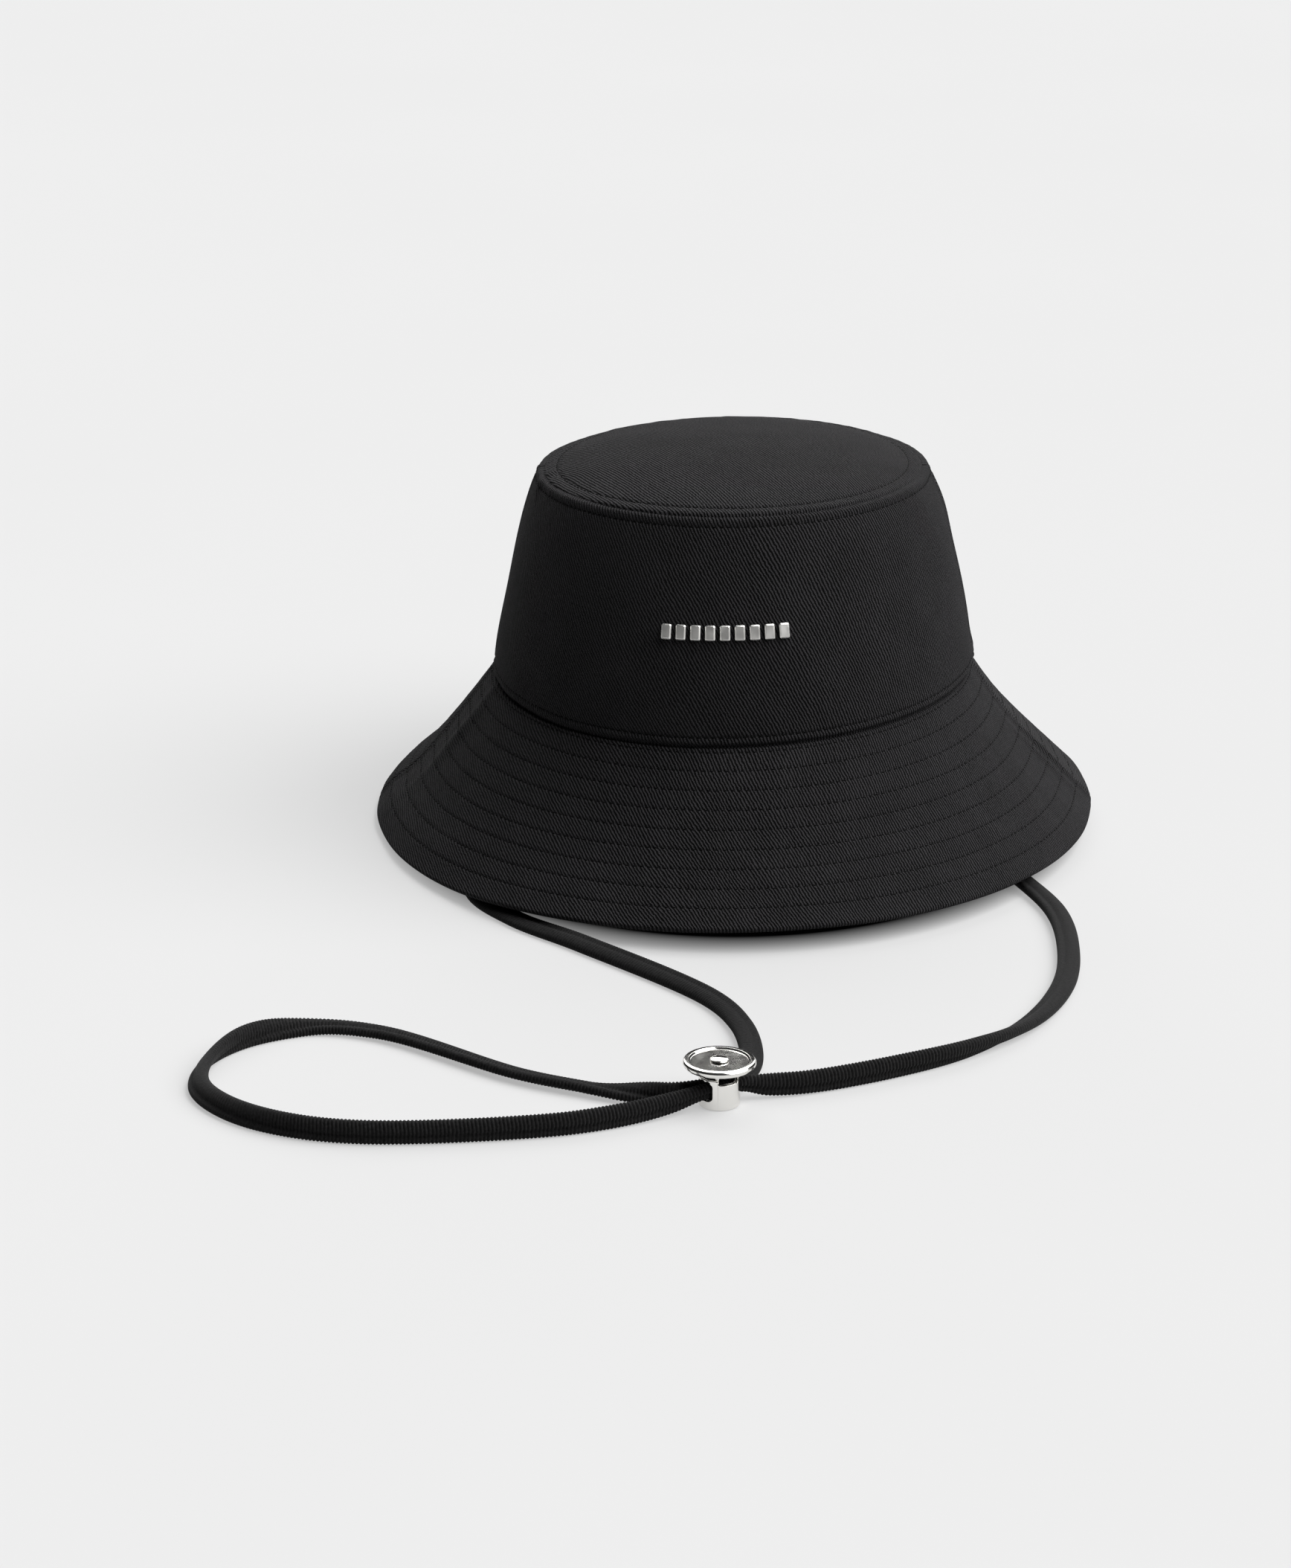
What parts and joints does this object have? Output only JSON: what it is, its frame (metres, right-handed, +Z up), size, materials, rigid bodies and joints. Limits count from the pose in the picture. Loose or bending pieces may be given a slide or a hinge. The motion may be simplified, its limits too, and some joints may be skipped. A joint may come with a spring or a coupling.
{
  "type": "bucket hat",
  "caption": "Twill bucket hat with a stitched downturned brim, a lined crown, a row of metal studs, and a flat woven chin cord run through a spring cord lock.",
  "frame": {"origin": "middle of the hat, on the floor that its brim stands on, without the cord and the lock", "axes": "+Z up through the crown, -Y to the front of the hat, +X to the hat's right-hand side as seen from the front"},
  "size_m": [0.2987, 0.4711, 0.1427],
  "materials": {
    "twill": "matt black cotton twill",
    "interfacing": "dark non-woven interfacing",
    "lining": "smooth black lining cloth",
    "sweatband_tape": "black woven sweatband tape",
    "label_tape": "dark grey satin tape, blank",
    "cord_weave": "black ribbed woven tube",
    "polished_metal": "polished silver-coloured metal",
    "spring_steel": "bright spring steel"
  },
  "bodies": {
    "hat": {"crown_tip": "twill", "crown_side_front": "twill", "crown_side_back": "twill", "brim_top_front": "twill", "brim_top_back": "twill", "brim_under_front": "twill", "brim_under_back": "twill", "brim_interlining_front": "interfacing", "brim_interlining_back": "interfacing", "stud_backing_strip": "interfacing", "lining_tip": "lining", "lining_side": "lining", "sweatband": "sweatband_tape", "size_label": "label_tape", "cord_tab_left": "cord_weave", "cord_tab_right": "cord_weave", "chin_cord": "cord_weave", "stud_1": "polished_metal", "stud_2": "polished_metal", "stud_3": "polished_metal", "stud_4": "polished_metal", "stud_5": "polished_metal", "stud_6": "polished_metal", "stud_7": "polished_metal", "stud_8": "polished_metal", "stud_9": "polished_metal", "lock_barrel": "polished_metal", "lock_spring": "spring_steel"},
    "plunger": {"lock_plunger": "polished_metal", "lock_cap": "polished_metal", "lock_rivet": "polished_metal"}
  },
  "joints": [
    {"name": "plunger_press", "type": "slide", "parent": "hat", "child": "plunger", "axis": [0, 0, -1], "range_m": [0, 0.0012], "stiffness_N_per_m": 1000, "springref_m": -0.0015, "deforming": ["lock_spring"]}
  ]
}
